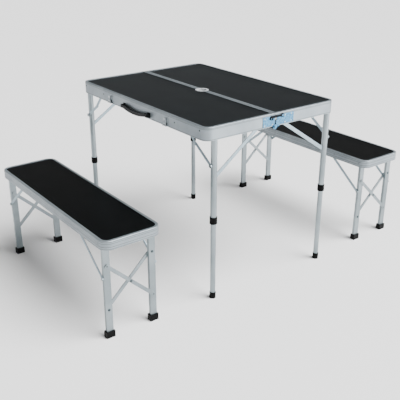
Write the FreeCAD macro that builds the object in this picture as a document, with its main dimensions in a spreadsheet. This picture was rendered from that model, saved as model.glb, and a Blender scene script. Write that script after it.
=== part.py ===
"""Folding picnic table in two hinged case halves, with two folding benches."""
import FreeCAD, Part
import Sketcher
import math
import os
import re

# Driving sizes in millimetres. Both case halves are alike, and so are both benches.
SIZES = {
    # table top and its frame
    "table_length": 900,
    "table_width": 650,
    "table_height": 710,
    "frame_depth": 50,
    "corner_round": 32,
    "wall": 1.8,
    "lip": 11,
    "lip_thick": 1.8,
    "ledge_thick": 1.5,
    "board_thick": 4.1,
    "slot_depth": 3,
    "play": 0.2,
    "seam": 0.5,
    "top_edge_round": 2.5,
    # table legs: each half has one leg set in from the corner and one close to it
    "near_x": 422,
    "near_y": 264.5,
    "far_x": 434.5,
    "far_y": 299,
    "pivot_rise": 22,
    "upper_radius": 12,
    "upper_length": 355,
    "tube_above_pivot": 4,
    "lower_radius": 10.5,
    "lower_inside": 40,
    "tube_wall": 1.4,
    "collar_radius": 14.5,
    "collar_height": 27,
    "foot_radius": 12.5,
    "foot_height": 26,
    "foot_base": 4,
    "pin_radius": 4,
    "running_gap": 0.05,
    # folding stays of the table legs
    "stay_drop": 128,
    "stay_reach": 148,
    "upper_link": 88.6,
    "link_step": 20,
    "link_width": 12,
    "link_thick": 2,
    "rivet_radius": 3,
    # slanting bars between the legs and the hinge
    "bar_width": 14,
    "bar_thick": 2.5,
    "bar_low_drop": 187,
    "bar_tip_drop": 6,
    "bar_top_y": 16,
    # umbrella hole
    "hole_radius": 20,
    "sleeve_radius": 22.5,
    "flange_radius": 28,
    "sleeve_depth": 25,
    # hinge plates on the short sides
    "axis_drop": 1.5,
    "plate_thick": 2,
    "front_plate": 60,
    "rear_plate": 95,
    "lobe_radius": 9,
    "hinge_pin_radius": 3,
    "lock_y": 36,
    "lock_rise": 38,
    "stud_y": 19,
    "hook_width": 9,
    # carrying handle and latches
    "grip_span": 170,
    "grip_bow": 9,
    "grip_rise": 15,
    "grip_width": 13,
    "grip_thick": 10,
    "grip_near": 6,
    "grip_pin_radius": 2.5,
    "lug_wide": 10,
    "lug_tall": 14,
    "latch_x": 205,
    "latch_width": 16,
    "latch_length": 26,
    "latch_pin_rise": 4.5,
    "latch_pin_radius": 1.5,
    # benches
    "bench_length": 876,
    "bench_width": 235,
    "bench_height": 395,
    "bench_depth": 34,
    "bench_round": 36,
    "bench_leg_x": 400,
    "bench_leg_y": 92,
    "bench_leg_wide": 26,
    "bench_leg_thick": 12,
    "bench_pivot_drop": 18.5,
    "bench_stay_drop": 137,
    "bench_stay_length": 206,
    "brace_high": 287,
    "brace_low": 113,
    "brace_width": 14,
    "brace_thick": 3,
    "bench_foot_height": 25,
    "bench_foot_rim": 4,
    "bench_groove": 0.8,
    # where the pieces of the set stand
    "table_shift": -24,
    "front_bench_x": 10,
    "front_bench_y": -652,
    "rear_bench_y": 652,
    "rear_bench_x": 11,
}

doc = FreeCAD.newDocument("PicnicTable")
sheet = doc.addObject("Spreadsheet::Sheet", "Sizes")
for row, (alias, value) in enumerate(SIZES.items(), start=1):
    sheet.set(f"A{row}", alias)
    sheet.set(f"B{row}", str(value))
    sheet.setAlias(f"B{row}", alias)
doc.recompute()

X, Y, Z = FreeCAD.Vector(1, 0, 0), FreeCAD.Vector(0, 1, 0), FreeCAD.Vector(0, 0, 1)
LEVEL = FreeCAD.Rotation()
ALONG_X = FreeCAD.Rotation(Y, 90)
ALONG_Y = FreeCAD.Rotation(X, -90)
TURNED = FreeCAD.Rotation(Z, 180)

# Heights and places that several pieces share, written with the sheet's names.
RIM = "(table_height - frame_depth)"
PIVOT = f"({RIM} + pivot_rise)"
AXIS = f"({RIM} - axis_drop)"
SLOT_TOP = "(table_height - lip_thick)"
BOARD_UNDER = f"({SLOT_TOP} - board_thick)"
LEDGE_UNDER = f"({BOARD_UNDER} - ledge_thick)"
BENCH_PIVOT = "(bench_height - bench_pivot_drop)"


def bound(text):
    """Write a formula of the sheet's names as FreeCAD wants it."""

    def in_sheet(word):
        return f"Sizes.{word.group()}" if word.group() in SIZES else word.group()

    return re.sub(r"[a-z_]{2,}", in_sheet, str(text))


def number(text):
    """Work a formula out from the sheet."""
    return float(sheet.evalExpression(bound(text)))


def drive(thing, **properties):
    """Bind properties, such as Length, to formulas."""
    for name, text in properties.items():
        thing.setExpression(name, bound(text))


def stand(thing, at, rotation=LEVEL):
    """Put a thing at a place given by formulas."""
    thing.Placement = FreeCAD.Placement(FreeCAD.Vector(*map(number, at)), rotation)
    for letter, text in zip("xyz", at):
        thing.setExpression(f"Placement.Base.{letter}", bound(text))
    return thing


def box(name, low, sides):
    """Block from its lowest corner."""
    block = doc.addObject("Part::Box", name)
    drive(block, Length=sides[0], Width=sides[1], Height=sides[2])
    return stand(block, low)


def rod(name, at, radius, length, rotation=LEVEL):
    """Round bar from the middle of its first end."""
    bar = doc.addObject("Part::Cylinder", name)
    drive(bar, Radius=radius, Height=length)
    return stand(bar, at, rotation)


def join(name, *pieces):
    whole = doc.addObject("Part::MultiFuse", name)
    whole.Shapes = list(pieces)
    whole.Refine = True
    return whole


def cut(name, base, *tools):
    rest = doc.addObject("Part::Cut", name)
    rest.Base = base
    rest.Tool = tools[0] if len(tools) == 1 else join(name + "_cutters", *tools)
    rest.Refine = True
    return rest


def shared(name, *pieces):
    """What all the pieces have in common."""
    inside = doc.addObject("Part::MultiCommon", name)
    inside.Shapes = list(pieces)
    return inside


# Sketched pieces


def body(name):
    return doc.addObject("PartDesign::Body", name)


def sketch(owner, name, role, height):
    """Sketch on one of the body's own planes, lifted along the plane's normal."""
    flat = owner.newObject("Sketcher::SketchObject", name)
    plane = next(each for each in owner.Origin.OriginFeatures if each.Role == role)
    flat.AttachmentSupport = [(plane, "")]
    flat.MapMode = "FlatFace"
    flat.AttachmentOffset = FreeCAD.Placement(FreeCAD.Vector(0, 0, number(height)), LEVEL)
    flat.setExpression("AttachmentOffset.Base.z", bound(height))
    return flat


def fix_point(flat, geometry, end, name, place):
    """Hold a point of the sketch by its distances from the origin."""
    for kind, letter, text in zip(("DistanceX", "DistanceY"), "xy", place):
        flat.addConstraint(Sketcher.Constraint(kind, -1, 1, geometry, end, number(text)))
        flat.renameConstraint(flat.ConstraintCount - 1, f"{name}_{letter}")
        flat.setExpression(f"Constraints.{name}_{letter}", bound(text))


def rounded_outline(flat, low, high, rounds, tag=""):
    """Closed rectangle between two corners; rounds gives each corner's radius, or None, from low-low around."""
    corners = [(low[0], low[1]), (high[0], low[1]), (high[0], high[1]), (low[0], high[1])]
    inward = [(1, 1), (-1, 1), (-1, -1), (1, -1)]
    along = [((0, 1), (1, 0)), ((-1, 0), (0, 1)), ((0, -1), (-1, 0)), ((1, 0), (0, -1))]
    stops = []
    for corner, step, (before, after), radius in zip(corners, inward, along, rounds):
        if radius is None:
            stops.append((corner, corner, None, None))
            continue
        centre = [f"({at}) + ({way}) * ({radius})" for at, way in zip(corner, step)]
        first = [f"({at}) + ({way}) * ({radius})" for at, way in zip(corner, before)]
        last = [f"({at}) + ({way}) * ({radius})" for at, way in zip(corner, after)]
        stops.append((first, last, centre, radius))

    def spot(place):
        return FreeCAD.Vector(number(place[0]), number(place[1]), 0)

    for index, (first, last, centre, radius) in enumerate(stops):
        if centre is not None:
            middle = spot(centre)
            start = (spot(first) - middle)
            start_angle = math.atan2(start.y, start.x)
            circle = Part.Circle(middle, Z, number(radius))
            arc = flat.addGeometry(Part.ArcOfCircle(circle, start_angle, start_angle + math.pi / 2))
            fix_point(flat, arc, 3, f"{tag}middle{index}", centre)
            fix_point(flat, arc, 1, f"{tag}start{index}", first)
            level_end = abs(number(last[1]) - number(centre[1])) < 1e-9
            turn_end = (last[0], centre[1]) if level_end else (centre[0], last[1])
            held = 0 if abs(number(last[0]) - number(centre[0])) < 1e-9 else 1
            kind = ("DistanceX", "DistanceY")[held]
            flat.addConstraint(Sketcher.Constraint(kind, -1, 1, arc, 2, number(turn_end[held])))
            flat.renameConstraint(flat.ConstraintCount - 1, f"{tag}end{index}")
            flat.setExpression(f"Constraints.{tag}end{index}", bound(turn_end[held]))
        following = stops[(index + 1) % 4]
        line = flat.addGeometry(Part.LineSegment(spot(last), spot(following[0])))
        fix_point(flat, line, 1, f"{tag}from{index}", last)
        fix_point(flat, line, 2, f"{tag}to{index}", following[0])


def pad(owner, name, flat, length):
    feature = owner.newObject("PartDesign::Pad", name)
    feature.Profile = flat
    feature.setExpression("Length", bound(length))
    doc.recompute()
    return feature


def pocket(owner, name, flat, length):
    """Cut upwards from the sketch, and make sure that something was taken away."""
    before = owner.Shape.Volume
    feature = owner.newObject("PartDesign::Pocket", name)
    feature.Profile = flat
    feature.Reversed = True
    feature.setExpression("Length", bound(length))
    doc.recompute()
    if owner.Shape.Volume > before - 1:
        raise RuntimeError(f"{name} cuts nothing")
    return feature


def half_outline(flat, inset, tag=""):
    """Outline of the front half: its seam side is straight, and its outer corners are round."""
    low = (f"-(table_length / 2 - ({inset}))", f"-(table_width / 2 - ({inset}))")
    high = (f"table_length / 2 - ({inset})", f"-(seam + ({inset}))")
    radius = f"corner_round - ({inset})"
    rounded_outline(flat, low, high, (radius, radius, None, None), tag)


def bench_outline(flat, inset, tag=""):
    low = (f"-(bench_length / 2 - ({inset}))", f"-(bench_width / 2 - ({inset}))")
    high = (f"bench_length / 2 - ({inset})", f"bench_width / 2 - ({inset})")
    radius = f"bench_round - ({inset})"
    rounded_outline(flat, low, high, (radius,) * 4, tag)


def tray_frame(name, outline, height, depth):
    """Extruded rim bent round a top: wall, lip over the board's edge, slot for the board, ledge under it."""
    owner = body(name)
    rim = f"({height} - {depth})"
    slot_top = f"({height} - lip_thick)"
    under = f"({slot_top} - board_thick - ledge_thick)"
    layers = (
        ("outside", "0", rim, depth, pad),
        ("inside", "wall", rim, f"{under} - {rim}", pocket),
        ("opening", "lip", under, f"{height} - {under}", pocket),
        ("slot", "slot_depth", f"{under} + ledge_thick", "board_thick", pocket),
    )
    for layer, inset, start, length, feature in layers:
        flat = sketch(owner, f"{name}_{layer}_sketch", "XY_Plane", start)
        outline(flat, inset)
        doc.recompute()
        last = feature(owner, f"{name}_{layer}", flat, length)
    return owner, last


def round_top_edge(owner, last, name, height, half_size, radius):
    """Round the outer top edge of a rim, away from the seam."""
    names = []
    half_length, half_width = map(number, half_size)
    for index, edge in enumerate(last.Shape.Edges, start=1):
        bounds = edge.BoundBox
        high = bounds.ZMin > number(height) - 0.01
        outer = max(abs(bounds.XMin), abs(bounds.XMax)) > half_length - 0.01
        outer = outer or max(abs(bounds.YMin), abs(bounds.YMax)) > half_width - 0.01
        if high and outer:
            names.append(f"Edge{index}")
    fillet = owner.newObject("PartDesign::Fillet", name)
    fillet.Base = (last, names)
    fillet.setExpression("Radius", bound(radius))
    doc.recompute()
    return fillet


def board(name, outline, height, thickness):
    owner = body(name)
    flat = sketch(owner, f"{name}_sketch", "XY_Plane", f"{height} - lip_thick - board_thick")
    outline(flat, "slot_depth + play")
    doc.recompute()
    pad(owner, f"{name}_pad", flat, thickness)
    return owner


# Table half: frame and board

half_rim, half_rim_last = tray_frame("half_rim", half_outline, "table_height", "frame_depth")
half_size = ("table_length / 2", "table_width / 2")
round_top_edge(half_rim, half_rim_last, "half_rim_round", "table_height", half_size, "top_edge_round")
hole = rod("half_hole", ("0", "0", "0"), "sleeve_radius + 2 * running_gap", "table_height * 2")
flange_seat = rod("flange_seat", ("0", "0", SLOT_TOP), "flange_radius + play", "lip_thick * 2")
half_frame = cut("half_frame", half_rim, hole, flange_seat)
half_panel = board("half_panel", half_outline, "table_height", "board_thick - play / 2")
half_board = cut("half_board", half_panel, hole)

# Half of the umbrella hole's sleeve, with a flange let in flush with the lips

sleeve = rod("sleeve", ("0", "0", "table_height - sleeve_depth"), "sleeve_radius", "sleeve_depth")
flange = rod("flange", ("0", "0", SLOT_TOP), "flange_radius", "lip_thick")
sleeve_bore = rod("sleeve_bore", ("0", "0", "0"), "hole_radius", "table_height * 2")
sleeve_rest = box("sleeve_rest", ("-table_width", "-seam / 2", "0"),
                  ("table_width * 2", "table_width", "table_height * 2"))
half_sleeve = cut("half_sleeve", join("whole_sleeve", sleeve, flange), sleeve_bore, sleeve_rest)


# Legs of the front half

SIDES = {
    "right": {"sign": 1, "across": "near_x", "along": "near_y", "under": BOARD_UNDER},
    "left": {"sign": -1, "across": "far_x", "along": "far_y", "under": LEDGE_UNDER},
}
LINK_GAP = "0.6"
LOWER_PLANE = "(upper_radius + 1)"
UPPER_PLANE = f"({LOWER_PLANE} + link_thick + {LINK_GAP})"
LUG_PLANE = f"({UPPER_PLANE} + link_thick + {LINK_GAP})"
CHEEK_GAP = "0.5"


def tube(name, at, radius, wall, length):
    outside = rod(name + "_outside", at, radius, length)
    inside = rod(name + "_inside", at, f"{radius} - {wall}", length)
    return cut(name, outside, inside)


def flat_link(name, length, holes):
    """Flat bar with round ends, along X from its first hole, in the XZ plane, with its thickness along +Y."""
    middle = box(name + "_middle", ("0", "0", "-link_width / 2"), (length, "link_thick", "link_width"))
    ends = [rod(f"{name}_end{index}", (place, "0", "0"), "link_width / 2", "link_thick", ALONG_Y)
            for index, place in enumerate(("0", length))]
    drilled = [rod(f"{name}_hole{index}", (place, "-1", "0"), "rivet_radius + running_gap", "link_thick + 2", ALONG_Y)
               for index, place in enumerate(holes)]
    return cut(name, join(name + "_blank", middle, *ends), *drilled)


def stay_angles():
    """Angles, at rest, of the upper link at the frame and of the lower link at the leg, for the right side."""
    upper = number("upper_link")
    lower = number("upper_link + link_step")
    across = number("stay_reach")
    down = number("stay_drop")
    span = math.hypot(across, down)
    slope = math.atan2(-down, across)
    at_frame = math.acos((upper**2 + span**2 - lower**2) / (2 * upper * span))
    at_leg = math.asin(upper / lower * math.sin(at_frame))
    return slope - at_frame, slope + math.pi + at_leg


def lay(link, at, angle, sign):
    """Turn a link to its angle in the XZ plane; the left side is the right side's mirror image."""
    facing = angle if sign > 0 else math.pi - angle
    link.Placement = FreeCAD.Placement(FreeCAD.Vector(*map(number, at)), FreeCAD.Rotation(Y, -math.degrees(facing)))
    for letter, text in zip("xyz", at):
        link.setExpression(f"Placement.Base.{letter}", bound(text))
    return link


def leg_tubes(side, sign, across, along):
    """Upper tube with its knob and pin hole, collar, lower tube and foot."""
    axis_x = f"{sign} * {across}"
    axis_y = f"-{along}"
    bottom = f"({PIVOT} - upper_length)"
    shell = tube(f"{side}_upper_shell", (axis_x, axis_y, bottom), "upper_radius", "tube_wall",
                 "upper_length + tube_above_pivot")
    pin_hole = rod(f"{side}_pin_hole", (axis_x, f"{axis_y} - upper_radius - 1", PIVOT), "pin_radius + running_gap",
                   "2 * upper_radius + 2", ALONG_Y)
    knob_z = f"({PIVOT} - stay_drop)"
    knob_end = f"{axis_y} - {UPPER_PLANE} - link_thick - 1"
    knob_pin = rod(f"{side}_knob_pin", (axis_x, knob_end, knob_z), "rivet_radius",
                   f"{UPPER_PLANE} + link_thick + 1 - upper_radius + tube_wall / 2", ALONG_Y)
    knob_head = rod(f"{side}_knob_head", (axis_x, knob_end, knob_z), "link_width / 2 + 1",
                    f"link_thick + 1 + {LINK_GAP} / 2", ALONG_Y)
    upper = join(f"{side}_upper", cut(f"{side}_upper_drilled", shell, pin_hole), knob_pin, knob_head)

    collar_low = f"({bottom} - 4.5)"
    ring = rod(f"{side}_collar_ring", (axis_x, axis_y, collar_low), "collar_radius", "collar_height")
    seat = rod(f"{side}_collar_seat", (axis_x, axis_y, bottom), "upper_radius", "collar_height")
    throat = rod(f"{side}_collar_throat", (axis_x, axis_y, f"{collar_low} - 1"), "lower_radius + 2 * running_gap",
                 "collar_height")
    collar = cut(f"{side}_collar", ring, seat, throat)

    lower = tube(f"{side}_lower", (axis_x, axis_y, "foot_base"), "lower_radius", "tube_wall",
                 f"{bottom} + lower_inside - foot_base")
    plug = rod(f"{side}_foot_plug", (axis_x, axis_y, "0"), "foot_radius", "foot_height")
    socket = rod(f"{side}_foot_socket", (axis_x, axis_y, "foot_base"), "lower_radius", "foot_height")
    foot = cut(f"{side}_foot", plug, socket)
    return upper, collar, lower, foot


def leg_mount(side, sign, across, along, under):
    """Forked socket with the leg's pivot pin, and the lug that holds the upper link."""
    axis_x = f"{sign} * {across}"
    axis_y = f"-{along}"
    inner = f"({sign} * ({across} - 12))"
    low_x = inner if sign > 0 else f"-({across} + 2)"
    wide = "14"
    plate_z = f"({LEDGE_UNDER} - 3)"
    cheek_low = f"({PIVOT} - pin_radius - 4)"
    gap = f"(upper_radius + {CHEEK_GAP})"
    pieces = []
    for place, offset in (("front", f"-{gap} - 3"), ("back", gap)):
        pieces.append(box(f"{side}_cheek_{place}", (low_x, f"{axis_y} + {offset}", cheek_low),
                          (wide, "3", f"{plate_z} - {cheek_low} + 1")))
    pieces.append(box(f"{side}_crown", (low_x, f"{axis_y} - {gap} - 3", plate_z), (wide, f"2 * {gap} + 6", "3")))
    pad_x = inner if sign > 0 else f"-({across} - 2)"
    pieces.append(box(f"{side}_crown_pad", (pad_x, f"{axis_y} - 8", LEDGE_UNDER), ("10", "16", "ledge_thick")))
    pieces.append(rod(f"{side}_pivot_pin", (axis_x, f"{axis_y} - {gap} - 3", PIVOT), "pin_radius",
                      f"2 * {gap} + 6", ALONG_Y))
    lug_x = f"({sign} * ({across} - stay_reach))"
    lug_y = f"({axis_y} - {LUG_PLANE} - 3)"
    lug_low = f"({PIVOT} - link_width / 2)"
    pieces.append(box(f"{side}_lug", (f"{lug_x} - link_width / 2", lug_y, lug_low),
                      ("link_width", "3", f"{under} - {lug_low}")))
    pieces.append(rod(f"{side}_lug_pin", (lug_x, lug_y, PIVOT), "rivet_radius",
                      f"{LUG_PLANE} + 3 - {UPPER_PLANE} + {LINK_GAP} / 2", ALONG_Y))
    return pieces


def leg_stays(side, sign, across, along):
    """Upper link on the frame's lug and lower link on the leg's knob."""
    at_frame, at_leg = stay_angles()
    upper = flat_link(f"{side}_stay_upper", "upper_link", ("0", "upper_link"))
    lay(upper, (f"{sign} * ({across} - stay_reach)", f"-{along} - {UPPER_PLANE} - link_thick", PIVOT), at_frame, sign)
    lower = flat_link(f"{side}_stay_lower", "upper_link + link_step", ("0", "upper_link + link_step"))
    lay(lower, (f"{sign} * {across}", f"-{along} - {LOWER_PLANE} - link_thick", f"{PIVOT} - stay_drop"), at_leg, sign)
    return upper, lower


def slanting_bar(side, sign, across, along):
    """Flat bar from the leg up to the middle of the short side, carried by the leg."""
    run = f"({along} - bar_top_y - bar_width / 2)"
    rise = "(bar_low_drop - bar_tip_drop)"
    length = f"sqrt({run} ^ 2 + {rise} ^ 2)"
    lean = FreeCAD.Rotation(X, math.degrees(math.atan2(number(rise), number(run))))
    low_x = f"{sign} * {across} - bar_thick / 2"
    low_z = f"{PIVOT} - bar_low_drop"
    blank = doc.addObject("Part::Box", f"{side}_bar_blank")
    drive(blank, Length="bar_thick", Width=length, Height="bar_width")
    stand(blank, (low_x, f"-{along}", low_z), lean)
    tip_y = f"-{along} + {run} - {rise} / {length} * bar_width / 2"
    tip_z = f"{low_z} + {rise} + {run} / {length} * bar_width / 2"
    round_end = rod(f"{side}_bar_end", (low_x, tip_y, tip_z), "bar_width / 2", "bar_thick", ALONG_X)
    clear = rod(f"{side}_bar_clear", (f"{sign} * {across}", f"-{along}", "0"), "upper_radius", "table_height")
    behind = box(f"{side}_bar_behind", (f"{sign} * {across} - 50", f"-{along} - 50", "0"),
                 ("100", "50", "table_height"))
    return cut(f"{side}_bar", join(f"{side}_bar_whole", blank, round_end), clear, behind)


legs = {}
mounts = []
for side, data in SIDES.items():
    spot = (side, data["sign"], data["across"], data["along"])
    upper, collar, lower, foot = leg_tubes(*spot)
    stay_upper, stay_lower = leg_stays(*spot)
    legs[side] = {
        "leg_upper": upper,
        "leg_collar": collar,
        "leg_lower": lower,
        "leg_foot": foot,
        "stay_upper": stay_upper,
        "stay_lower": stay_lower,
        "slant_bar": slanting_bar(*spot),
    }
    mounts += leg_mount(*spot, data["under"])
half_mounts = join("half_mounts", *mounts)

# Hinge plates, pins and locks on the short sides

LAYER_GAP = "0.4"
EAR = f"(plate_thick + {LAYER_GAP})"
HEAD = f"({EAR} + plate_thick + {LAYER_GAP})"
PLATE_LOW = f"({RIM} + 4)"
PLATE_TALL = "(frame_depth - 12)"


def outward(sign, start, thickness):
    """Lowest X of a layer that starts at a distance outside the short side."""
    return f"table_length / 2 + {start}" if sign > 0 else f"-(table_length / 2 + {start} + {thickness})"


def front_hinge(end, sign):
    plate = box(f"{end}_front_plate", (outward(sign, "0", "plate_thick"), "-front_plate", PLATE_LOW),
                ("plate_thick", "front_plate - 2", PLATE_TALL))
    thin = f"(plate_thick - {LAYER_GAP})"
    lobe = rod(f"{end}_front_lobe", (outward(sign, LAYER_GAP, thin), "0", AXIS), "lobe_radius", thin, ALONG_X)
    neck = box(f"{end}_front_neck", (outward(sign, LAYER_GAP, thin), "-lobe_radius - 3", AXIS),
               (thin, "lobe_radius + 3", "lobe_radius - 1"))
    long = f"({HEAD} + plate_thick - {LAYER_GAP})"
    pin = rod(f"{end}_hinge_pin", (outward(sign, LAYER_GAP, long), "0", AXIS), "hinge_pin_radius", long, ALONG_X)
    head = rod(f"{end}_hinge_head", (outward(sign, HEAD, "1.5"), "0", AXIS), "hinge_pin_radius + 2", "1.5", ALONG_X)
    stud = rod(f"{end}_lock_stud", (outward(sign, "plate_thick", "0.3"), "-stud_y", f"{RIM} + lock_rise - 4"),
               "rivet_radius + 1", "0.3", ALONG_X)
    return join(f"{end}_front_hinge", plate, lobe, neck, pin, head, stud)


def rear_hinge(end, sign):
    start_y = "(lobe_radius + 1.5)"
    plate = box(f"{end}_rear_plate", (outward(sign, "0", "plate_thick"), start_y, PLATE_LOW),
                ("plate_thick", f"rear_plate - {start_y}", PLATE_TALL))
    spacer = box(f"{end}_rear_spacer", (outward(sign, "plate_thick", LAYER_GAP), start_y, PLATE_LOW),
                 (LAYER_GAP, "10", "20"))
    ear = box(f"{end}_rear_ear", (outward(sign, EAR, "plate_thick"), "0", AXIS),
              ("plate_thick", f"{start_y} + 10", f"{PLATE_LOW} + 20 - {AXIS}"))
    lobe = rod(f"{end}_rear_lobe", (outward(sign, EAR, "plate_thick"), "0", AXIS), "lobe_radius",
               "plate_thick", ALONG_X)
    bore = rod(f"{end}_rear_bore", (outward(sign, "0", "10"), "0", AXIS), "hinge_pin_radius + running_gap",
               "10", ALONG_X)
    corner = box(f"{end}_ear_corner", (outward(sign, EAR, "plate_thick"), "0", f"{AXIS} + lobe_radius"),
                 ("plate_thick", "3", "30"))
    pivot = rod(f"{end}_lock_pivot", (outward(sign, "plate_thick", "3"), "lock_y", f"{RIM} + lock_rise"),
                "rivet_radius - 0.5", "3", ALONG_X)
    head = rod(f"{end}_lock_head", (outward(sign, "plate_thick + 2.6", "1"), "lock_y", f"{RIM} + lock_rise"),
               "rivet_radius + 1", "1", ALONG_X)
    plates = cut(f"{end}_rear_cut", join(f"{end}_rear_blank", plate, spacer, ear, lobe), bore, corner)
    return join(f"{end}_rear_hinge", plates, pivot, head)


def lock_hook(end, sign):
    """Hook on the rear plate that reaches over the front plate's stud."""
    thick = "1.6"
    tall = "hook_width"
    layer = outward(sign, "plate_thick + 0.7", thick)
    high = f"{RIM} + lock_rise"
    stud_z = f"{high} - 4"
    arm = box(f"{end}_hook_arm", (layer, "-stud_y", f"{high} - {tall} / 2"), (thick, "lock_y + stud_y", tall))
    round_eye = rod(f"{end}_hook_eye", (layer, "lock_y", high), f"{tall} - 1.5", thick, ALONG_X)
    claw = rod(f"{end}_hook_claw", (layer, "-stud_y", stud_z), f"{tall} - 0.5", thick, ALONG_X)
    throat = box(f"{end}_hook_throat", (layer, "-stud_y - 2.5", f"{stud_z} - 10"), (thick, "5", "11"))
    eye_hole = rod(f"{end}_hook_hole", (outward(sign, "0", "10"), "lock_y", high),
                   "rivet_radius - 0.5 + running_gap", "10", ALONG_X)
    return cut(f"{end}_hook", join(f"{end}_hook_blank", arm, round_eye, claw), throat, eye_hole)


ENDS = (("near_end", 1), ("far_end", -1))
front_hinges = join("front_hinges", *[front_hinge(*end) for end in ENDS])
rear_hinges = join("rear_hinges", *[rear_hinge(*end) for end in ENDS])
hooks = join("hook_pair", *[lock_hook(*end) for end in ENDS])

# Carrying handle, latches and keepers on the long sides

FACE = "(table_width / 2)"
GRIP_FRONT = f"-({FACE} + grip_near + grip_thick)"
GRIP_AXIS_Y = f"-({FACE} + grip_near + grip_thick / 2)"
GRIP_AXIS_Z = f"({RIM} + grip_rise)"
GRIP_REACH = "(grip_span / 2 - grip_width / 2)"
GRIP_CURVE = f"(({GRIP_REACH} ^ 2 + grip_bow ^ 2) / (2 * grip_bow))"
GRIP_PIN_START = f"({GRIP_REACH} - 4)"
LUG_START = "(grip_span / 2 + 1)"
LATCH_AXIS_Y = f"-({FACE} + 5.5)"
LATCH_AXIS_Z = f"({RIM} + latch_pin_rise)"


def bowed_grip():
    """Grip bent to a shallow arc between two round ends, with a pin hole in each end."""
    curve_z = f"{GRIP_AXIS_Z} - grip_bow + {GRIP_CURVE}"
    outer = rod("grip_outer", ("0", GRIP_FRONT, curve_z), f"{GRIP_CURVE} + grip_width / 2", "grip_thick", ALONG_Y)
    inner = rod("grip_inner", ("0", f"{GRIP_FRONT} - 1", curve_z), f"{GRIP_CURVE} - grip_width / 2",
                "grip_thick + 2", ALONG_Y)
    between = box("grip_between", (f"-{GRIP_REACH}", GRIP_FRONT, f"{GRIP_AXIS_Z} - grip_bow - grip_width"),
                  (f"2 * {GRIP_REACH}", "grip_thick", "grip_bow + 2 * grip_width"))
    pieces = [shared("grip_arc", cut("grip_ring", outer, inner), between)]
    holes = []
    for end, sign in ENDS:
        pieces.append(rod(f"{end}_grip_eye", (f"{sign} * {GRIP_REACH}", GRIP_FRONT, GRIP_AXIS_Z), "grip_width / 2",
                          "grip_thick", ALONG_Y))
        start = f"{GRIP_PIN_START} - 1" if sign > 0 else f"-({GRIP_PIN_START} - 1 + grip_width)"
        holes.append(rod(f"{end}_grip_hole", (start, GRIP_AXIS_Y, GRIP_AXIS_Z), "grip_pin_radius + running_gap",
                         "grip_width", ALONG_X))
    return cut("grip", join("grip_blank", *pieces), *holes)


def handle_lug(end, sign):
    """Lug screwed to the rail, with the pin that the grip turns on."""
    low_x = LUG_START if sign > 0 else f"-({LUG_START} + lug_wide)"
    lug = box(f"{end}_handle_lug", (low_x, f"{GRIP_AXIS_Y} - grip_thick / 2", f"{GRIP_AXIS_Z} - lug_tall / 2"),
              ("lug_wide", "grip_near + grip_thick", "lug_tall"))
    base = box(f"{end}_handle_base", (f"{low_x} - 3", f"-{FACE} - 2.5", f"{GRIP_AXIS_Z} - lug_tall / 2 - 3"),
               ("lug_wide + 6", "2.5", "lug_tall + 6"))
    pin_length = f"({LUG_START} + 2 - {GRIP_PIN_START})"
    pin_x = GRIP_PIN_START if sign > 0 else f"-({GRIP_PIN_START} + {pin_length})"
    pin = rod(f"{end}_handle_pin", (pin_x, GRIP_AXIS_Y, GRIP_AXIS_Z), "grip_pin_radius", pin_length, ALONG_X)
    return join(f"{end}_handle_end", lug, base, pin)


def latch_mount(end, sign):
    """Base plate with two ears and the latch's pin."""
    low_x = f"{sign} * latch_x - latch_width / 2"
    low_z = f"{RIM} + 1"
    pieces = [box(f"{end}_latch_base", (f"{low_x} - 3", f"-{FACE} - 1.5", low_z), ("latch_width + 6", "1.5", "8"))]
    for place, offset in (("inner", "-3"), ("outer", "latch_width + 1")):
        pieces.append(box(f"{end}_latch_ear_{place}", (f"{low_x} + {offset}", f"{LATCH_AXIS_Y} - 3", low_z),
                          ("2", f"-{LATCH_AXIS_Y} + 3 - {FACE}", "7")))
    pieces.append(rod(f"{end}_latch_pin", (f"{low_x} - 2", LATCH_AXIS_Y, LATCH_AXIS_Z), "latch_pin_radius",
                      "latch_width + 4", ALONG_X))
    return join(f"{end}_latch_mount", *pieces)


WINDOW_TALL = "10"
WINDOW_END = "7"


def latch(end, sign):
    """Latch plate that stands up when open; its window drops over the keeper when it is swung down."""
    low_x = f"{sign} * latch_x - latch_width / 2"
    barrel = rod(f"{end}_latch_barrel", (low_x, LATCH_AXIS_Y, LATCH_AXIS_Z), "3", "latch_width", ALONG_X)
    plate = box(f"{end}_latch_plate", (low_x, f"{LATCH_AXIS_Y} - 1", LATCH_AXIS_Z),
                ("latch_width", "2", "latch_length"))
    bore = rod(f"{end}_latch_bore", (f"{low_x} - 1", LATCH_AXIS_Y, LATCH_AXIS_Z), "latch_pin_radius + running_gap",
               "latch_width + 2", ALONG_X)
    window_low = (f"{low_x} + 3", f"{LATCH_AXIS_Y} - 5", f"{LATCH_AXIS_Z} + latch_length - {WINDOW_END} - {WINDOW_TALL}")
    window = box(f"{end}_latch_window", window_low, ("latch_width - 6", "10", WINDOW_TALL))
    return cut(f"{end}_latch", join(f"{end}_latch_blank", barrel, plate), bore, window)


def keeper(end, sign):
    """Hook on the rear half's long side, in the latch's window when the case is shut."""
    middle = f"({AXIS} * 2 - {LATCH_AXIS_Z} + latch_length - {WINDOW_END} - {WINDOW_TALL} / 2)"
    nose = box(f"{end}_keeper_nose", (f"{sign} * latch_x - latch_width / 2 + 4", FACE, f"{middle} - 3"),
               ("latch_width - 8", "8.5", "6"))
    base = box(f"{end}_keeper_base", (f"{sign} * latch_x - latch_width / 2", FACE, f"{middle} - 7"),
               ("latch_width", "1.5", "14"))
    return join(f"{end}_keeper", nose, base)


grip = bowed_grip()
lugs = join("lug_pair", *[handle_lug(*end) for end in ENDS])
latch_bases = join("latch_bases", *[latch_mount(*end) for end in ENDS])
latches = join("latch_pair", *[latch(*end) for end in ENDS])
keepers = join("keeper_pair", *[keeper(*end) for end in ENDS])

# Bench: frame with its axle rods, board, and a folding leg frame at each end

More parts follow.
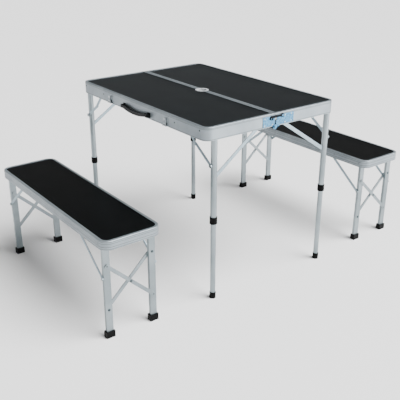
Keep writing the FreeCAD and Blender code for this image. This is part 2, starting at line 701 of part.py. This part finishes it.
bench_rim, bench_rim_last = tray_frame("bench_rim", bench_outline, "bench_height", "bench_depth")
bench_size = ("bench_length / 2", "bench_width / 2")
round_top_edge(bench_rim, bench_rim_last, "bench_rim_round", "bench_height", bench_size, "top_edge_round")
groove_flat = sketch(bench_rim, "bench_groove_sketch", "XY_Plane", "bench_height - bench_depth / 2 - 2")
bench_outline(groove_flat, "-2", "outer_")
bench_outline(groove_flat, "bench_groove", "inner_")
doc.recompute()
pocket(bench_rim, "bench_groove_pocket", groove_flat, "4")
axles = [rod(f"bench_axle_{name}", (f"{sign} * bench_leg_x", "-(bench_width / 2 - wall)", BENCH_PIVOT), "pin_radius",
             "bench_width - 2 * wall", ALONG_Y) for name, sign in ENDS]
bench_frame = join("bench_frame_piece", bench_rim, *axles)
bench_board = board("bench_board_piece", bench_outline, "bench_height", "board_thick - play / 2")

STAY_SIDE = "(bench_leg_y + bench_leg_wide / 2)"


def bench_end(end, sign):
    """Two flat legs and their crossed braces, riveted into one frame."""
    low_x = f"({sign} * bench_leg_x - bench_leg_thick / 2)"
    pieces = []
    drilled = []
    for place, way in (("front", -1), ("back", 1)):
        low_y = f"{way} * bench_leg_y - bench_leg_wide / 2"
        pieces.append(box(f"{end}_{place}_leg", (low_x, low_y, "foot_base"),
                          ("bench_leg_thick", "bench_leg_wide", f"{BENCH_PIVOT} + 7 - foot_base")))
        drilled.append(rod(f"{end}_{place}_axle_hole", (f"{sign} * bench_leg_x", f"{low_y} - 1", BENCH_PIVOT),
                           "pin_radius + running_gap", "bench_leg_wide + 2", ALONG_Y))
        knob_z = f"{BENCH_PIVOT} - bench_stay_drop"
        out_y = STAY_SIDE if way > 0 else f"-({STAY_SIDE} + 4)"
        head_y = f"{STAY_SIDE} + 3.5" if way > 0 else f"-({STAY_SIDE} + 6)"
        pieces.append(rod(f"{end}_{place}_knob_pin", (f"{sign} * bench_leg_x", out_y, knob_z), "rivet_radius",
                          "4", ALONG_Y))
        pieces.append(rod(f"{end}_{place}_knob", (f"{sign} * bench_leg_x", head_y, knob_z), "rivet_radius + 2.5",
                          "2.5", ALONG_Y))
    slope = math.degrees(math.atan2(number("brace_high - brace_low"), number("2 * bench_leg_y")))
    brace_length = "(sqrt((2 * bench_leg_y) ^ 2 + (brace_high - brace_low) ^ 2) + brace_width)"
    layers = (("inner", 1, "-(bench_leg_thick / 2 + brace_thick)"), ("outer", -1, "bench_leg_thick / 2"))
    for place, way, layer in layers:
        brace = doc.addObject("Part::Box", f"{end}_{place}_brace")
        drive(brace, Length="brace_thick", Width=brace_length, Height="brace_width")
        turn = FreeCAD.Rotation(X, way * slope)
        middle = FreeCAD.Vector(0, 0, number("(brace_high + brace_low) / 2"))
        corner = middle - turn.multVec(FreeCAD.Vector(0, number(brace_length) / 2, number("brace_width / 2")))
        brace.Placement = FreeCAD.Placement(corner, turn)
        brace.setExpression("Placement.Base.x", bound(f"{sign} * bench_leg_x + {layer}"))
        pieces.append(brace)
    spacer = rod(f"{end}_brace_rivet", (low_x, "0", "(brace_high + brace_low) / 2"), "5", "bench_leg_thick", ALONG_X)
    return cut(f"{end}_bench_end", join(f"{end}_bench_end_blank", *pieces, spacer), *drilled)


def bench_feet(end, sign):
    feet = []
    for place, way in (("front", -1), ("back", 1)):
        outer_x = "bench_leg_thick + 2 * bench_foot_rim + 2"
        outer_y = "bench_leg_wide + 2 * bench_foot_rim"
        block = box(f"{end}_{place}_foot_block",
                    (f"{sign} * bench_leg_x - ({outer_x}) / 2", f"{way} * bench_leg_y - ({outer_y}) / 2", "0"),
                    (outer_x, outer_y, "bench_foot_height"))
        inner = (f"{sign} * bench_leg_x - bench_leg_thick / 2", f"{way} * bench_leg_y - bench_leg_wide / 2", "foot_base")
        socket = box(f"{end}_{place}_foot_socket", inner, ("bench_leg_thick", "bench_leg_wide", "bench_foot_height"))
        feet.append(cut(f"{end}_{place}_foot", block, socket))
    return join(f"{end}_feet", *feet)


def bench_stays(end, sign):
    """A straight stay on the outer side of each leg; its top end runs along the seat frame."""
    links = []
    rise = number("bench_stay_drop - 10")
    angle = math.pi - math.asin(rise / number("bench_stay_length"))
    for place, low_y in (("front", f"-({STAY_SIDE} + 0.5 + link_thick)"), ("back", f"{STAY_SIDE} + 0.5")):
        link = flat_link(f"{end}_{place}_stay", "bench_stay_length", ("0",))
        lay(link, (f"{sign} * bench_leg_x", low_y, f"{BENCH_PIVOT} - bench_stay_drop"), angle, sign)
        links.append(link)
    return join(f"{end}_stays", *links)


bench_pieces = {"frame": bench_frame, "board": bench_board}
for word, end in zip(("right", "left"), ENDS):
    bench_pieces[f"legs_{word}"] = bench_end(*end)
    bench_pieces[f"feet_{word}"] = bench_feet(*end)
    bench_pieces[f"stays_{word}"] = bench_stays(*end)

# The set as it stands: each node is one piece put in its place

nodes = []


def place(node, piece, at, rotation=LEVEL):
    copy = doc.addObject("Part::Compound", node)
    copy.Label = node
    copy.Links = [piece]
    stand(copy, at, rotation)
    nodes.append(copy)


TABLE = ("0", "table_shift", "0")
for half, rotation in (("front", LEVEL), ("rear", TURNED)):
    place(f"frame_{half}", half_frame, TABLE, rotation)
    place(f"board_{half}", half_board, TABLE, rotation)
    place(f"umbrella_ring_{half}", half_sleeve, TABLE, rotation)
    place(f"leg_mounts_{half}", half_mounts, TABLE, rotation)
    for side, pieces in legs.items():
        other = {"right": "left", "left": "right"}[side]
        word = side if half == "front" else other
        for name, piece in pieces.items():
            place(f"{name}_{half}_{word}", piece, TABLE, rotation)
place("hinge_plates_front", front_hinges, TABLE)
place("hinge_plates_rear", rear_hinges, TABLE)
place("hinge_locks", hooks, TABLE)
place("handle_grip", grip, TABLE)
place("handle_lugs", lugs, TABLE)
place("latch_mounts", latch_bases, TABLE)
place("latches", latches, TABLE)
place("latch_keepers", keepers, TABLE)
BENCHES = {
    "front_bench": ("front_bench_x", "front_bench_y", "0"),
    "rear_bench": ("rear_bench_x", "rear_bench_y", "0"),
}
for bench, at in BENCHES.items():
    for name, piece in bench_pieces.items():
        place(f"{bench}_{name}", piece, at)

doc.recompute()
for thing in doc.Objects:
    if "Invalid" in thing.State or "Error" in thing.State:
        raise RuntimeError(f"{thing.Name} failed: {thing.State}")
for node in nodes:
    if node.Shape.isNull() or not node.Shape.isValid() or not node.Shape.Solids:
        raise RuntimeError(f"{node.Label} has no sound shape")

os.makedirs("parts", exist_ok=True)
for node in nodes:
    node.Shape.exportStep(f"parts/{node.Label}.step")
    size = node.Shape.BoundBox
    print(f"{node.Label:28s} {len(node.Shape.Solids)} x {size.XMin:8.1f}..{size.XMax:7.1f} "
          f"y {size.YMin:8.1f}..{size.YMax:7.1f} z {size.ZMin:7.1f}..{size.ZMax:7.1f}")
print(len(nodes), "nodes")
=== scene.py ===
# %% [markdown]
# # A folding picnic table and its two benches
# The table is two shallow trays of extruded aluminium, hinged together, with dark laminated boards
# set into their lips. The frame made in the CAD step already holds every moving part in place, so
# this lesson gives each part its finish and adds the small hardware that makes it believable.

# %% Load the frame
import bpy, bmesh
import math
from mathutils import Matrix, Vector


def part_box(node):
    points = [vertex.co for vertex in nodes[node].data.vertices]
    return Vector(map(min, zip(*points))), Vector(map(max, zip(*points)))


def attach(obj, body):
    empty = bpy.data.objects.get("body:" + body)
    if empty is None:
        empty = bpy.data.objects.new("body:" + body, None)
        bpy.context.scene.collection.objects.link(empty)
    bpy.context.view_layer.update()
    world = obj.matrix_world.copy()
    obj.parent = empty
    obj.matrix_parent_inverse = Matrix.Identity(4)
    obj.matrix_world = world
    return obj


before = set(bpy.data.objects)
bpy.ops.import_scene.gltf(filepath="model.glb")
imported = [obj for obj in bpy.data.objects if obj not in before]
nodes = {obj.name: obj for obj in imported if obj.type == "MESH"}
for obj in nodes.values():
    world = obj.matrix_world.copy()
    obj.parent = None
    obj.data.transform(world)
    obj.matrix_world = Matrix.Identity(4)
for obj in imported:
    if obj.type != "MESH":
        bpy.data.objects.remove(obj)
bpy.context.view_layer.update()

# %% [markdown]
# ## Colours and nodes
# A colour is given as an sRGB hex value, but shaders work with linear light, so one function
# turns the first into the second. A second small function adds a node, sets its options, and fills
# its sockets with numbers or links. Every finish below is built with these two.

# %% Helpers for finishes
def linear(hex_colour):
    """Linear RGBA of an sRGB hex colour."""
    parts = [int(hex_colour[i:i + 2], 16) / 255 for i in (1, 3, 5)]
    return [p / 12.92 if p <= 0.04045 else ((p + 0.055) / 1.055) ** 2.4 for p in parts] + [1.0]


def add(tree, kind, sockets=None, **options):
    """Add a node: options are its properties, sockets its inputs by name or number."""
    made = tree.nodes.new(kind)
    for name, value in options.items():
        setattr(made, name, value)
    for name, value in (sockets or {}).items():
        if isinstance(value, bpy.types.NodeSocket):
            tree.links.new(value, made.inputs[name])
        else:
            made.inputs[name].default_value = value
    return made


def new_finish(name, **surface):
    """Empty material with a Principled shader whose plain sockets are set directly."""
    material = bpy.data.materials.new(name)
    material.use_nodes = True
    tree = material.node_tree
    shader = tree.nodes["Principled BSDF"]
    for socket, value in surface.items():
        shader.inputs[socket.replace("_", " ")].default_value = value
    return material, tree, shader


def blend_colours(tree, factor, dark, light, low=0.35, high=0.65):
    """Colour that runs between two hex colours as a texture's value does."""
    ramp = add(tree, "ShaderNodeValToRGB", {"Fac": factor})
    ramp.color_ramp.elements[0].position = low
    ramp.color_ramp.elements[0].color = linear(dark)
    ramp.color_ramp.elements[1].position = high
    ramp.color_ramp.elements[1].color = linear(light)
    return ramp.outputs["Color"]


def spread(tree, value, low, high):
    """Stretch a texture's 0 to 1 over another range."""
    sockets = {"Value": value, "To Min": low, "To Max": high}
    return add(tree, "ShaderNodeMapRange", sockets).outputs["Result"]


def noise(tree, place, scale, detail):
    """Value of a noise texture."""
    sockets = {"Vector": place, "Scale": scale, "Detail": detail}
    return add(tree, "ShaderNodeTexNoise", sockets).outputs["Fac"]


def calculate(tree, operation, *values):
    """Result of a maths node on values or links."""
    return add(tree, "ShaderNodeMath", dict(enumerate(values)), operation=operation).outputs["Value"]


MM = 0.001
print("white in linear light:", linear("#ffffff")[:3])

# %% [markdown]
# ## Anodised aluminium extrusion
# The rims are drawn through a die and anodised, which leaves a satin metal with faint lines along
# its length and a soft, even sheen. Stretched noise gives the drawing lines. The real lines are
# finer than 0.2 mm, too fine to show, so they are drawn about 2 mm apart. The shallow grooves of
# the profile are painted shade: thin dark bands at their heights above the ground.

# %% Extruded rim finish
DRAW_LINE = 2 * MM
# Heights above the ground of the profile's grooves, where bands of painted shade go.
TABLE_LINES = (0.6635, 0.7015, 0.7055)
BENCH_LINES = (0.3645, 0.3720, 0.3840, 0.3905)
LINE_HALF = 0.9 * MM
# Strength and colour of the painted shade in the grooves.
GROOVE_SHADE_STRENGTH = 0.8
GROOVE_PAINTED_SHADE = "#42494d"


def extruded_aluminium(name, dark, light, rough, shaded_groove_heights=(), metallic=0.9):
    material, tree, shader = new_finish(name, Metallic=metallic, Roughness=rough)
    place = add(tree, "ShaderNodeTexCoord").outputs["Object"]
    squeeze = {"Vector": place, "Scale": (0.03, 0.03, 1.0)}
    stretched = add(tree, "ShaderNodeMapping", squeeze).outputs["Vector"]
    lines = noise(tree, stretched, 1 / DRAW_LINE, 3.0)
    clouds = noise(tree, place, 9.0, 4.0)
    shade = blend_colours(tree, clouds, dark, light)
    if shaded_groove_heights:
        height = add(tree, "ShaderNodeSeparateXYZ", {"Vector": place}).outputs["Z"]
        grooves = 0.0
        for groove_height in shaded_groove_heights:
            in_groove = calculate(tree, "COMPARE", height, groove_height, LINE_HALF)
            grooves = calculate(tree, "ADD", in_groove, grooves)
        # Painted shade: the groove bands are mixed towards a dark colour.
        painted_groove_shade = calculate(tree, "MULTIPLY", grooves, GROOVE_SHADE_STRENGTH)
        sockets = {0: painted_groove_shade, 6: shade, 7: linear(GROOVE_PAINTED_SHADE)}
        shade = add(tree, "ShaderNodeMix", sockets, data_type="RGBA").outputs[2]
    tree.links.new(shade, shader.inputs["Base Color"])
    tree.links.new(spread(tree, lines, rough - 0.06, rough + 0.08), shader.inputs["Roughness"])
    bump = add(tree, "ShaderNodeBump", {"Height": lines, "Strength": 0.12, "Distance": 0.05 * MM})
    tree.links.new(bump.outputs["Normal"], shader.inputs["Normal"])
    return material


rim_finish = extruded_aluminium(
    "extruded rim", "#7f888e", "#8e979c", 0.38, TABLE_LINES + BENCH_LINES, metallic=0.6)
tube_finish = extruded_aluminium("drawn tube", "#7f898d", "#919a9e", 0.3)
print("rim and tube finishes ready")

# %% [markdown]
# ## Laminated boards
# The tops are fibreboard under a dark melamine sheet pressed against a fine-grained plate. The eye
# reads a soft, slightly mottled black with a weak broad reflection. Two noises do this: one at the
# 1.5 mm grain of the plate for bump and gloss, one at hand size for the mottling.

# %% Board finishes
GRAIN = 1.5 * MM
BOARD_GLOSS = 0.12


def laminate(name, dark, light, rough):
    material, tree, shader = new_finish(
        name, Roughness=rough, IOR=1.5, Specular_IOR_Level=BOARD_GLOSS)
    place = add(tree, "ShaderNodeTexCoord").outputs["Object"]
    grain = noise(tree, place, 1 / GRAIN, 2.0)
    mottle = noise(tree, place, 14.0, 5.0)
    half = calculate(tree, "MULTIPLY", calculate(tree, "ADD", grain, mottle), 0.5)
    tree.links.new(blend_colours(tree, half, dark, light), shader.inputs["Base Color"])
    tree.links.new(spread(tree, grain, rough - 0.07, rough + 0.07), shader.inputs["Roughness"])
    bump = add(tree, "ShaderNodeBump", {"Height": grain, "Strength": 0.25, "Distance": 0.08 * MM})
    tree.links.new(bump.outputs["Normal"], shader.inputs["Normal"])
    return material


table_laminate = laminate("table laminate", "#0d1012", "#15191b", 0.34)
seat_laminate = laminate("seat laminate", "#020303", "#050607", 0.3)
print("laminates ready")

# %% [markdown]
# ## Moulded plastic
# Collars, feet and the grip are injection moulded in polypropylene. The mould is spark-eroded, which
# leaves a fine matt texture of about half a millimetre. A little dust varies colour and gloss.

# %% Plastic finishes
SPARK_GRAIN = 0.6 * MM
PLASTIC_GLOSS = 0.08


def moulded_plastic(name, dark, light, rough):
    material, tree, shader = new_finish(
        name, Roughness=rough, IOR=1.49, Specular_IOR_Level=PLASTIC_GLOSS)
    place = add(tree, "ShaderNodeTexCoord").outputs["Object"]
    grain = noise(tree, place, 1 / SPARK_GRAIN, 1.0)
    dust = noise(tree, place, 60.0, 3.0)
    tree.links.new(blend_colours(tree, dust, dark, light), shader.inputs["Base Color"])
    tree.links.new(spread(tree, dust, rough - 0.08, rough + 0.08), shader.inputs["Roughness"])
    bump = add(tree, "ShaderNodeBump", {"Height": grain, "Strength": 0.3, "Distance": 0.05 * MM})
    tree.links.new(bump.outputs["Normal"], shader.inputs["Normal"])
    return material


black_plastic = moulded_plastic("black polypropylene", "#020202", "#050506", 0.4)
grip_plastic = moulded_plastic("grip polypropylene", "#101213", "#1a1d1e", 0.36)
ring_plastic = moulded_plastic("silver ring", "#a9adb0", "#b6babd", 0.36)
print("plastics ready")

# %% [markdown]
# ## Zinc plate and bright steel
# The stays, slanting bars and hinge plates are pressed from steel strip and zinc plated, which gives
# a cool bluish grey with small crystal patches. The latches are polished and nickel plated, and
# the hooks that lock the hinge are enamelled black.

# %% Steel finishes
SPANGLE = 6 * MM


def plated_steel(name, dark, light, rough):
    material, tree, shader = new_finish(name, Metallic=1.0, Roughness=rough)
    place = add(tree, "ShaderNodeTexCoord").outputs["Object"]
    patches = {"Vector": place, "Scale": 1 / SPANGLE}
    crystals = add(tree, "ShaderNodeTexVoronoi", patches).outputs["Distance"]
    tree.links.new(blend_colours(tree, crystals, dark, light, 0.1, 0.7), shader.inputs["Base Color"])
    tree.links.new(spread(tree, crystals, rough - 0.05, rough + 0.08), shader.inputs["Roughness"])
    return material


zinc_plate = plated_steel("zinc plate", "#2c5675", "#5685a3", 0.4)
zinc_strip = plated_steel("zinc strip", "#7f8f98", "#94a3ab", 0.4)
dull_rivet = plated_steel("dull rivet", "#3d474a", "#4c575a", 0.5)
bright_nickel = plated_steel("bright nickel", "#8f969b", "#a2a8ac", 0.3)
black_enamel = moulded_plastic("black enamel", "#030507", "#0a0e12", 0.34)
print("steels ready")

# %% [markdown]
# ## Dressing the CAD parts
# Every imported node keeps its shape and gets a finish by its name. The material goes on the object,
# not on the mesh, so that the mesh stays exactly as it was packed.

# %% Give each node its finish
FINISHES = (
    ("frame_", rim_finish), ("front_bench_frame", rim_finish), ("rear_bench_frame", rim_finish),
    ("board_", table_laminate), ("front_bench_board", seat_laminate),
    ("rear_bench_board", seat_laminate),
    ("umbrella_ring", ring_plastic), ("leg_mounts", zinc_strip), ("hinge_plates", zinc_plate),
    ("hinge_locks", black_enamel), ("handle_grip", grip_plastic), ("handle_lugs", grip_plastic),
    ("latch", bright_nickel), ("leg_collar", black_plastic), ("leg_foot", black_plastic),
    ("leg_upper", tube_finish), ("leg_lower", tube_finish), ("stay_lower", zinc_strip),
    ("stay_upper", zinc_strip), ("slant_bar", zinc_strip),
)


def finish_for(node):
    for start, finish in FINISHES:
        if node.startswith(start):
            return finish
    if "_feet_" in node:
        return black_plastic
    return zinc_strip if "_stays_" in node else tube_finish


for name, thing in nodes.items():
    if not thing.material_slots:
        continue
    for slot in thing.material_slots:
        slot.link = "OBJECT"
        slot.material = finish_for(name)
print("dressed", len(nodes), "nodes")

# %% [markdown]
# ## Softened edges
# Moulded and pressed parts never have a knife edge. A small bevel on their sharp edges catches the
# light, and as it only takes material away, each part stays inside its own box.

# %% Bevel the sharp edges
SOFT_EDGES = (
    ("leg_collar", 1.5), ("leg_foot", 2.0), ("_feet_", 2.0), ("handle_grip", 3.0),
    ("handle_lugs", 1.5), ("latches", 0.4), ("latch_mounts", 0.4), ("hinge_plates", 0.4),
    ("umbrella_ring", 0.5),
)
SHARP = math.radians(50)
softened = 0
for name, thing in nodes.items():
    for mark, width in SOFT_EDGES:
        if mark in name and thing.type == "MESH":
            bevel = thing.modifiers.new("soft edges", "BEVEL")
            bevel.width = width * MM
            bevel.segments = 2
            bevel.limit_method = "ANGLE"
            bevel.angle_limit = SHARP
            softened += 1
print("softened", softened, "nodes")

# %% [markdown]
# ## Rivets, buttons and screws
# Small domes hold the real thing together. Each group is one mesh of lathed domes, and it rides on
# the body it is fixed to. A lathe is a ring of points for each step of a short profile.

# %% A mesh of lathed domes
DOME_STEPS = 16
RIVET_PROFILE = ((1.0, 0.0), (1.0, 0.25), (0.86, 0.62), (0.55, 0.9), (0.22, 1.0))


def lathe_into(mesh, at, axis, radius, rise):
    """Add one lathed dome whose foot is at a place and which stands out along an axis."""
    turn = Vector((0, 0, 1)).rotation_difference(Vector(axis)).to_matrix()
    rings = []
    for across, up in RIVET_PROFILE:
        ring = []
        for step in range(DOME_STEPS):
            angle = 2 * math.pi * step / DOME_STEPS
            x, y = (part * across * radius for part in (math.cos(angle), math.sin(angle)))
            ring.append(mesh.verts.new(Vector(at) + turn @ Vector((x, y, up * rise))))
        rings.append(ring)
    for low, high in zip(rings, rings[1:]):
        for step in range(DOME_STEPS):
            after = (step + 1) % DOME_STEPS
            mesh.faces.new((low[step], low[after], high[after], high[step]))
    mesh.faces.new(rings[-1])
    mesh.faces.new(rings[0][::-1])


def finish_piece(name, mesh, finish, body):
    """Turn a bmesh into a smooth-shaded object, give it its finish, and let it ride on a body."""
    data = bpy.data.meshes.new(name)
    bmesh.ops.recalc_face_normals(mesh, faces=mesh.faces)
    mesh.to_mesh(data)
    mesh.free()
    data.materials.append(finish)
    piece = bpy.data.objects.new(name, data)
    bpy.context.collection.objects.link(piece)
    for face in data.polygons:
        face.use_smooth = True
    data.set_sharp_from_angle(angle=math.radians(40))
    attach(piece, body)


def domes(name, places, axis, size, body, finish):
    """Equal domes of a given radius and rise at several places, as one piece on one body."""
    mesh = bmesh.new()
    for at in places:
        lathe_into(mesh, at, axis, *size)
    finish_piece(name, mesh, finish, body)


print("dome profile has", len(RIVET_PROFILE), "rings")

# %% [markdown]
# ## Rivets of the table
# Blind rivets hold the leg sockets and the latches to the long sides, and the hinge plates to the
# short ones. Their places follow from the boxes of the parts that they hold.

# %% Place the table's rivets
RIVET = (3.2 * MM, 1.1 * MM)
LATCH_RIVET_X, LATCH_RIVET_UP = 0.262, 2 * MM
SOCKET_RIVET_X, SOCKET_RIVET_UP = 0.415, 9 * MM
PLATE_THICK = 2 * MM
PLATE_RIVET_LOW, PLATE_RIVET_TOP = 9 * MM, 14 * MM
front_low, front_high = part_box("frame_front")
rear_low, rear_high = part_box("frame_rear")
seam_y = (front_high.y + rear_low.y) / 2
mid_z = (front_low.z + front_high.z) / 2

for half, wall_y, way in (("front", front_low.y, -1), ("rear", rear_high.y, 1)):
    places = [
        (side * x, wall_y, mid_z + up)
        for x, up in ((LATCH_RIVET_X, LATCH_RIVET_UP), (SOCKET_RIVET_X, SOCKET_RIVET_UP))
        for side in (-1, 1)
    ]
    name = f"long_side_rivets_{half}"
    domes(name, places, (0, way, 0), RIVET, f"half_{half}", dull_rivet)
plate_heights = (front_low.z + PLATE_RIVET_LOW, front_high.z - PLATE_RIVET_TOP)
for half, spots in (("front", (-0.052, -0.012)), ("rear", (0.050, 0.083))):
    for end, way in (("near", 1), ("far", -1)):
        face_x = way * (front_high.x + PLATE_THICK)
        places = [(face_x, seam_y + y, z) for y in spots for z in plate_heights]
        name = f"plate_rivets_{half}_{end}"
        domes(name, places, (way, 0, 0), RIVET, f"half_{half}", bright_nickel)
print("table rivets placed, seam at", round(seam_y, 4))

# %% [markdown]
# ## Rivets of the benches
# A groove runs round each bench rim, and its rivets sit in that groove, so they stay inside the
# rim's outline. The crossed braces have a larger rivet at each end and one where they cross.

# %% Place the benches' rivets
GROOVE_RIVET = (2 * MM, 0.7 * MM)
GROOVE_RIVETS_X = (-0.4, -0.256, -0.14, 0.14, 0.256, 0.4)
GROOVE_DEPTH = 0.8 * MM
BRACE_RIVET = (5 * MM, 3.4 * MM)
BRACE_SET_BACK = 3 * MM
BRACE_ENDS_Y, BRACE_ENDS_Z, CROSSING_Z = (-0.092, 0.092), (0.287, 0.113), 0.2
for bench in ("front_bench", "rear_bench"):
    low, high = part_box(f"{bench}_frame")
    middle_x, middle_y, groove_z = (low + high) / 2
    for side, wall_y, way in (("front", low.y, 1), ("rear", high.y, -1)):
        floor_y = wall_y + way * GROOVE_DEPTH
        places = [(middle_x + x, floor_y, groove_z) for x in GROOVE_RIVETS_X]
        name = f"{bench}_rivets_{side}"
        domes(name, places, (0, -way, 0), GROOVE_RIVET, bench, dull_rivet)
    for word, way in (("right", 1), ("left", -1)):
        body = f"{bench}_legs_{word}"
        leg_low, leg_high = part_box(body)
        outer_x = leg_high.x if way > 0 else leg_low.x
        brace_x = outer_x - way * BRACE_SET_BACK
        places = [(brace_x, middle_y + y, z) for y in BRACE_ENDS_Y for z in BRACE_ENDS_Z]
        places.append((outer_x, middle_y, CROSSING_Z))
        domes(f"{bench}_brace_rivets_{word}", places, (way, 0, 0), BRACE_RIVET, body, dull_rivet)
print("bench rivets placed")

# %% [markdown]
# ## Spring buttons
# Each telescopic leg is held at its length by a sprung black button that pops through the collar.

# %% Place the spring buttons
BUTTON = (3.2 * MM, 1.2 * MM)
for half in ("front", "rear"):
    for word in ("right", "left"):
        low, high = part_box(f"leg_collar_{half}_{word}")
        middle = (low + high) / 2
        way = -1 if half == "front" else 1
        at = (middle.x, low.y if way < 0 else high.y, middle.z)
        leg = f"leg_{half}_{word}"
        domes(f"spring_button_{half}_{word}", [at], (0, way, 0), BUTTON, leg, black_plastic)
print("buttons placed")

# %% [markdown]
# ## Floor and light
# A plain pale floor that runs out of sight keeps the eye on the table. A very wide, slanting sun
# stands in for a lit ceiling, a low softbox lights the short side of the table, and a weak one fills
# the handle side. The surroundings are pale near the horizon, where the floor meets them, and dark
# above it, so that the black boards have nothing bright to mirror.

# %% Set the stage
FLOOR_HALF = 30
SUN_STRENGTH, SUN_WIDTH, SUN_WAY = 8.5, math.radians(50), Vector((-0.5, -0.34, -0.8))
PALE_UP_TO, DARK_FROM = 0.03, 0.1
PALE_STRENGTH, DARK_STRENGTH = 1.9, 0.14
floor_mesh = bmesh.new()
bmesh.ops.create_grid(floor_mesh, x_segments=1, y_segments=1, size=FLOOR_HALF)
floor_data = bpy.data.meshes.new("floor")
floor_mesh.to_mesh(floor_data)
floor_mesh.free()
floor = bpy.data.objects.new("floor", floor_data)
bpy.context.collection.objects.link(floor)
floor_finish, _, floor_shader = new_finish("pale floor", Roughness=0.9)
floor_shader.inputs["Base Color"].default_value = linear("#f4f4f4")
floor_data.materials.append(floor_finish)


def lamp(name, kind, way, power):
    """Add a light that shines along a direction, and return its object."""
    light = bpy.data.lights.new(name, kind)
    light.energy = power
    made = bpy.data.objects.new(name, light)
    made.rotation_euler = way.to_track_quat("-Z", "Y").to_euler()
    bpy.context.collection.objects.link(made)
    return made


def softbox(name, at, aim, size, power):
    """Add a rectangular light at a place, aimed at a point."""
    made = lamp(name, "AREA", Vector(aim) - Vector(at), power)
    made.location = at
    made.data.shape = "RECTANGLE"
    made.data.size, made.data.size_y = size


lamp("ceiling", "SUN", SUN_WAY, SUN_STRENGTH).data.angle = SUN_WIDTH
softbox("key", (3.8, 2.4, 1.1), (0, 0, 0.45), (3.2, 2.2), 200)
softbox("fill", (-1.5, -5.0, 2.4), (0, 0, 0.3), (3.0, 2.0), 12)
world = bpy.data.worlds.new("studio")
world.use_nodes = True
sky_tree = world.node_tree
direction = add(sky_tree, "ShaderNodeTexCoord").outputs["Generated"]
height = add(sky_tree, "ShaderNodeSeparateXYZ", {"Vector": direction}).outputs["Z"]
backdrop = sky_tree.nodes["Background"]
strength = {
    "Value": height, "From Min": PALE_UP_TO, "From Max": DARK_FROM,
    "To Min": PALE_STRENGTH, "To Max": DARK_STRENGTH,
}
fading = add(sky_tree, "ShaderNodeMapRange", strength).outputs["Result"]
sky_tree.links.new(fading, backdrop.inputs["Strength"])
backdrop.inputs["Color"].default_value = linear("#ffffff")
bpy.context.scene.world = world
print("stage set with", len(bpy.data.lights), "lights")

# %% [markdown]
# ## Camera
# The camera stands 1.4 m up, off the right front corner, and looks down on the set.

# %% Set the camera
CAMERA_AT = Vector((2.1736, -1.6721, 1.3812))
YAW, PITCH, ROLL = (math.radians(a) for a in (142.985, -23.356, 0.116))
lens = bpy.data.cameras.new("camera")
lens.lens = 59.17
lens.sensor_width = 36
camera = bpy.data.objects.new("camera", lens)
camera.location = CAMERA_AT
level = math.cos(PITCH)
look = Vector((math.cos(YAW) * level, math.sin(YAW) * level, math.sin(PITCH)))
roll = Matrix.Rotation(ROLL, 3, "Z").to_quaternion()
camera.rotation_euler = (look.to_track_quat("-Z", "Y") @ roll).to_euler()
bpy.context.collection.objects.link(camera)
bpy.context.scene.camera = camera
print("camera looks along", tuple(round(v, 3) for v in look))
